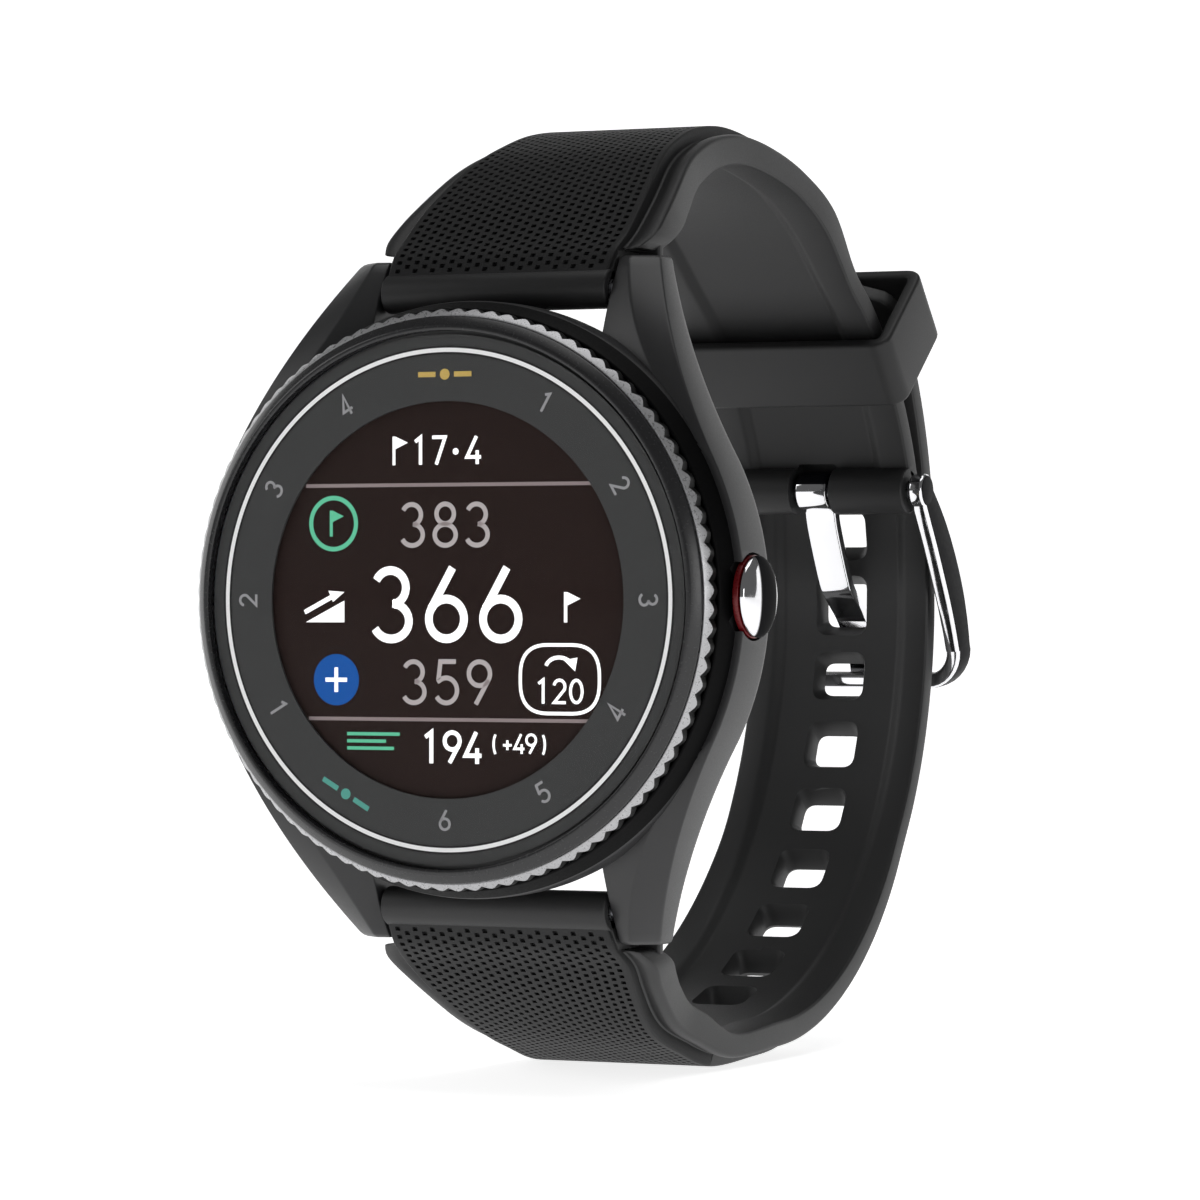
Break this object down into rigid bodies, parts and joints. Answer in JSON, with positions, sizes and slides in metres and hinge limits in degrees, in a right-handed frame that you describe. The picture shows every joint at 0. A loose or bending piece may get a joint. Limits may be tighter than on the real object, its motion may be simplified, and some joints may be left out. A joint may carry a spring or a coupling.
{
  "type": "golf gps watch",
  "caption": "Round golf GPS watch with a coin-edged turning bezel, domed side button, lit dial and a buckled rubber strap closed in a loop.",
  "frame": {"origin": "middle of the case back's flat outer face, the face that rests on the wrist", "axes": "+Y runs from the watch into the wrist, so the dial faces -Y; +X points to three o'clock and the side button; +Z points to twelve o'clock"},
  "size_m": [0.0481, 0.0816, 0.0762],
  "materials": {
    "case_black": "satin moulded",
    "chrome": "polished",
    "bezel_black": "satin black",
    "glass": "clear, slightly smoky",
    "dial_grey": "printed dark grey",
    "screen": "reflective display, dark",
    "red": "anodised look",
    "rubber": "soft-touch",
    "steel": "satin",
    "seal": "matte",
    "board_green": "solder mask",
    "frame_plastic": "moulded",
    "cell": "pouch foil",
    "ceramic": "ceramic patch",
    "gold": "gold plated"
  },
  "bodies": {
    "case": {"mid_case": "case_black", "case_back": "case_black", "case_back_gasket": "seal", "bezel_click_spring": "steel", "lens": "glass", "lens_gasket": "seal", "dial_ring": "dial_grey", "display_module": "screen", "display_backplate": "steel", "inner_frame": "frame_plastic", "main_circuit_board": "board_green", "button_switch": "frame_plastic", "battery": "cell", "rf_shield": "steel", "gps_antenna": "ceramic", "vibration_motor": "steel", "button_spring": "steel", "lower_strap": "rubber", "upper_spring_bar": "steel", "lower_spring_bar": "steel", "case_back_screw_1": "steel", "charging_contact_1": "gold", "case_back_screw_2": "steel", "charging_contact_2": "gold", "case_back_screw_3": "steel", "charging_contact_3": "gold", "case_back_screw_4": "steel", "charging_contact_4": "gold"},
    "bezel": {"bezel_grip_ring": "chrome", "bezel_top_ring": "bezel_black"},
    "crown_button": {"button_cap": "chrome", "button_collar": "red", "button_stem": "steel", "button_o_ring": "seal", "button_retainer": "steel"},
    "strap_upper": {"upper_strap": "rubber", "buckle_spring_bar": "steel"},
    "buckle": {"buckle_frame": "chrome"},
    "tang": {"buckle_tang": "chrome"},
    "keeper": {"strap_keeper": "rubber"}
  },
  "joints": [
    {"name": "bezel_turn", "type": "hinge", "parent": "case", "child": "bezel", "pos_m": [0, -0.0117, 0], "axis": [0, -1, 0], "continuous": true},
    {"name": "button_press", "type": "slide", "parent": "case", "child": "crown_button", "axis": [-1, 0, 0], "range_m": [0, 0.0004], "stiffness_N_per_m": 1200, "springref_m": -0.0006, "deforming": ["button_spring"]},
    {"name": "strap_flex", "type": "hinge", "parent": "case", "child": "strap_upper", "pos_m": [0, -0.0046, 0.024], "axis": [1, 0, 0], "range_deg": [-4, 4], "stiffness_Nm_per_rad": 0.9, "deforming": ["lower_strap"]},
    {"name": "buckle_pivot", "type": "hinge", "parent": "strap_upper", "child": "buckle", "pos_m": [0, 0.05587, 0.00949], "axis": [1, 0, 0], "range_deg": [-1.5, 1.5]},
    {"name": "tang_pivot", "type": "hinge", "parent": "strap_upper", "child": "tang", "pos_m": [0, 0.05587, 0.00949], "axis": [1, 0, 0], "range_deg": [-1.5, 1.5]},
    {"name": "keeper_slide", "type": "slide", "parent": "strap_upper", "child": "keeper", "axis": [0, -0.6428, 0.766], "range_m": [-0.0015, 0.0015]}
  ]
}
